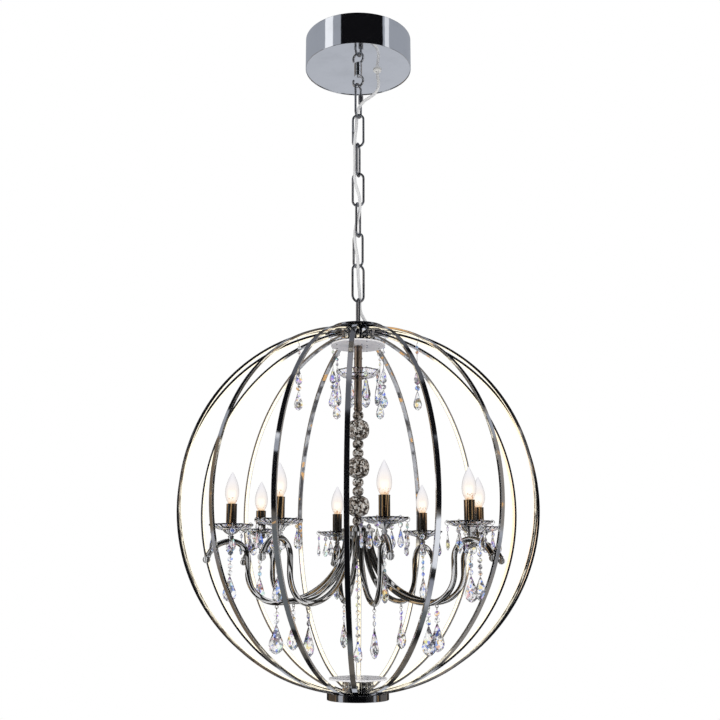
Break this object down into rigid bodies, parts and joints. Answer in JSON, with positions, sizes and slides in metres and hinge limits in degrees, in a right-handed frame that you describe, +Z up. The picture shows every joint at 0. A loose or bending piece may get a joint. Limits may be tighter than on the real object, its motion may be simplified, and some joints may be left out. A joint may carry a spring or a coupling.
{
  "type": "orb chandelier",
  "caption": "Round open orb of upright bands on a chain and drum canopy, around a crown of candle arms with crystal dishes, strings and a crystal column.",
  "frame": {"origin": "middle of the cross bar's top face, on the ceiling, on the axis of the stem and the chain", "axes": "+Z up into the ceiling, -Y towards the viewer of the picture, +X to the viewer's right"},
  "size_m": [0.8, 0.7997, 1.5431],
  "materials": {
    "polished_chrome": "mirror polished plating",
    "band_chrome": "mirror polished plating",
    "dark_chrome": "polished, dark reflections",
    "chain_steel": "polished steel",
    "nut_steel": "fluted, zinc plated",
    "zinc_steel": "zinc plated",
    "white_paint": "satin white",
    "white_plastic": "matt white",
    "clear_cord": "clear jacket over silvery wires",
    "light_diffuser": "milky diffuser, lit",
    "crystal": "cut crystal",
    "bulb_glass": "clear glass, lit"
  },
  "bodies": {
    "canopy": {"ceiling_bracket": "zinc_steel", "stem_nuts": "zinc_steel", "canopy_shell": "polished_chrome", "canopy_plate": "polished_chrome", "led_driver": "white_plastic", "hanger_hook": "polished_chrome", "cord_bushing": "white_plastic", "power_cord": "clear_cord"},
    "quick_link": {"quick_link": "chain_steel"},
    "quick_link_nut": {"quick_link_nut": "nut_steel"},
    "chain_link_1": {"chain_link_1": "chain_steel"},
    "chain_link_2": {"chain_link_2": "chain_steel"},
    "chain_link_3": {"chain_link_3": "chain_steel"},
    "chain_link_4": {"chain_link_4": "chain_steel"},
    "chain_link_5": {"chain_link_5": "chain_steel"},
    "large_link": {"large_link": "chain_steel"},
    "orb": {"hub_loop": "polished_chrome", "top_hub": "dark_chrome", "top_plate": "white_paint", "bands_front": "band_chrome", "bands_right": "band_chrome", "bands_rear": "band_chrome", "bands_left": "band_chrome", "light_strips": "light_diffuser", "bottom_plate": "white_paint", "bottom_hub": "dark_chrome", "column_tube": "polished_chrome", "upper_dish": "crystal", "column_crystals": "crystal", "arm_hub": "polished_chrome", "arm_1": "polished_chrome", "arm_2": "polished_chrome", "arm_3": "polished_chrome", "arm_4": "polished_chrome", "arm_5": "polished_chrome", "arm_6": "polished_chrome", "arm_7": "polished_chrome", "arm_8": "polished_chrome", "candle_cups": "polished_chrome", "bobeches": "crystal", "candle_sleeves": "dark_chrome", "bulbs": "bulb_glass", "hung_drops": "crystal"},
    "crook_string_1": {"crook_string_1": "crystal"},
    "crook_string_2": {"crook_string_2": "crystal"},
    "crook_string_3": {"crook_string_3": "crystal"},
    "crook_string_4": {"crook_string_4": "crystal"},
    "crook_string_5": {"crook_string_5": "crystal"},
    "crook_string_6": {"crook_string_6": "crystal"},
    "crook_string_7": {"crook_string_7": "crystal"},
    "crook_string_8": {"crook_string_8": "crystal"},
    "low_string_1": {"low_string_1": "crystal"},
    "low_string_2": {"low_string_2": "crystal"},
    "low_string_3": {"low_string_3": "crystal"},
    "low_string_4": {"low_string_4": "crystal"},
    "low_string_5": {"low_string_5": "crystal"},
    "low_string_6": {"low_string_6": "crystal"},
    "low_string_7": {"low_string_7": "crystal"},
    "low_string_8": {"low_string_8": "crystal"},
    "centre_string": {"centre_string": "crystal"}
  },
  "joints": [
    {"name": "quick_link_swing", "type": "hinge", "parent": "canopy", "child": "quick_link", "pos_m": [0, 0, -0.121], "axis": [0.866, -0.5, 0], "range_deg": [-10, 10], "deforming": ["power_cord"]},
    {"name": "chain_link_1_swing", "type": "hinge", "parent": "quick_link", "child": "chain_link_1", "pos_m": [0, 0, -0.2017], "axis": [0.5, 0.866, 0], "range_deg": [-10, 10]},
    {"name": "chain_link_2_swing", "type": "hinge", "parent": "chain_link_1", "child": "chain_link_2", "pos_m": [0, 0, -0.2774], "axis": [-0.9848, 0.1736, 0], "range_deg": [-10, 10]},
    {"name": "chain_link_3_swing", "type": "hinge", "parent": "chain_link_2", "child": "chain_link_3", "pos_m": [0, 0, -0.3531], "axis": [0.2588, 0.9659, 0], "range_deg": [-10, 10]},
    {"name": "chain_link_4_swing", "type": "hinge", "parent": "chain_link_3", "child": "chain_link_4", "pos_m": [0, 0, -0.4288], "axis": [-0.9962, 0.0872, 0], "range_deg": [-10, 10]},
    {"name": "chain_link_5_swing", "type": "hinge", "parent": "chain_link_4", "child": "chain_link_5", "pos_m": [0, 0, -0.5045], "axis": [0.342, 0.9397, 0], "range_deg": [-10, 10]},
    {"name": "large_link_swing", "type": "hinge", "parent": "chain_link_5", "child": "large_link", "pos_m": [0, 0, -0.5802], "axis": [-0.8192, 0.5736, 0], "range_deg": [-10, 10]},
    {"name": "orb_swing", "type": "hinge", "parent": "large_link", "child": "orb", "pos_m": [0, 0, -0.6639], "axis": [0.866, 0.5, 0], "range_deg": [-10, 10]},
    {"name": "quick_link_nut_slide", "type": "slide", "parent": "quick_link", "child": "quick_link_nut", "axis": [0, 0, 1], "range_m": [0, 0.0115]},
    {"name": "crook_string_1_swing", "type": "hinge", "parent": "orb", "child": "crook_string_1", "pos_m": [0.05167, -0.27214, -1.22295], "axis": [0.1865, -0.9825, 0], "range_deg": [-15, 15]},
    {"name": "crook_string_2_swing", "type": "hinge", "parent": "orb", "child": "crook_string_2", "pos_m": [0.22897, -0.1559, -1.22295], "axis": [0.8266, -0.5628, 0], "range_deg": [-15, 15]},
    {"name": "crook_string_3_swing", "type": "hinge", "parent": "orb", "child": "crook_string_3", "pos_m": [0.27214, 0.05167, -1.22295], "axis": [0.9825, 0.1865, 0], "range_deg": [-15, 15]},
    {"name": "crook_string_4_swing", "type": "hinge", "parent": "orb", "child": "crook_string_4", "pos_m": [0.1559, 0.22897, -1.22295], "axis": [0.5628, 0.8266, 0], "range_deg": [-15, 15]},
    {"name": "crook_string_5_swing", "type": "hinge", "parent": "orb", "child": "crook_string_5", "pos_m": [-0.05167, 0.27214, -1.22295], "axis": [-0.1865, 0.9825, 0], "range_deg": [-15, 15]},
    {"name": "crook_string_6_swing", "type": "hinge", "parent": "orb", "child": "crook_string_6", "pos_m": [-0.22897, 0.1559, -1.22295], "axis": [-0.8266, 0.5628, 0], "range_deg": [-15, 15]},
    {"name": "crook_string_7_swing", "type": "hinge", "parent": "orb", "child": "crook_string_7", "pos_m": [-0.27214, -0.05167, -1.22295], "axis": [-0.9825, -0.1865, 0], "range_deg": [-15, 15]},
    {"name": "crook_string_8_swing", "type": "hinge", "parent": "orb", "child": "crook_string_8", "pos_m": [-0.1559, -0.22897, -1.22295], "axis": [-0.5628, -0.8266, 0], "range_deg": [-15, 15]},
    {"name": "low_string_1_swing", "type": "hinge", "parent": "orb", "child": "low_string_1", "pos_m": [0.03283, -0.17291, -1.35095], "axis": [0.1865, -0.9825, 0], "range_deg": [-15, 15]},
    {"name": "low_string_2_swing", "type": "hinge", "parent": "orb", "child": "low_string_2", "pos_m": [0.14548, -0.09905, -1.35095], "axis": [0.8266, -0.5628, 0], "range_deg": [-15, 15]},
    {"name": "low_string_3_swing", "type": "hinge", "parent": "orb", "child": "low_string_3", "pos_m": [0.17291, 0.03283, -1.35095], "axis": [0.9825, 0.1865, 0], "range_deg": [-15, 15]},
    {"name": "low_string_4_swing", "type": "hinge", "parent": "orb", "child": "low_string_4", "pos_m": [0.09905, 0.14548, -1.35095], "axis": [0.5628, 0.8266, 0], "range_deg": [-15, 15]},
    {"name": "low_string_5_swing", "type": "hinge", "parent": "orb", "child": "low_string_5", "pos_m": [-0.03283, 0.17291, -1.35095], "axis": [-0.1865, 0.9825, 0], "range_deg": [-15, 15]},
    {"name": "low_string_6_swing", "type": "hinge", "parent": "orb", "child": "low_string_6", "pos_m": [-0.14548, 0.09905, -1.35095], "axis": [-0.8266, 0.5628, 0], "range_deg": [-15, 15]},
    {"name": "low_string_7_swing", "type": "hinge", "parent": "orb", "child": "low_string_7", "pos_m": [-0.17291, -0.03283, -1.35095], "axis": [-0.9825, -0.1865, 0], "range_deg": [-15, 15]},
    {"name": "low_string_8_swing", "type": "hinge", "parent": "orb", "child": "low_string_8", "pos_m": [-0.09905, -0.14548, -1.35095], "axis": [-0.5628, -0.8266, 0], "range_deg": [-15, 15]},
    {"name": "centre_string_swing", "type": "hinge", "parent": "orb", "child": "centre_string", "pos_m": [0, 0, -1.25295], "axis": [1, 0, 0], "range_deg": [-15, 15]}
  ]
}
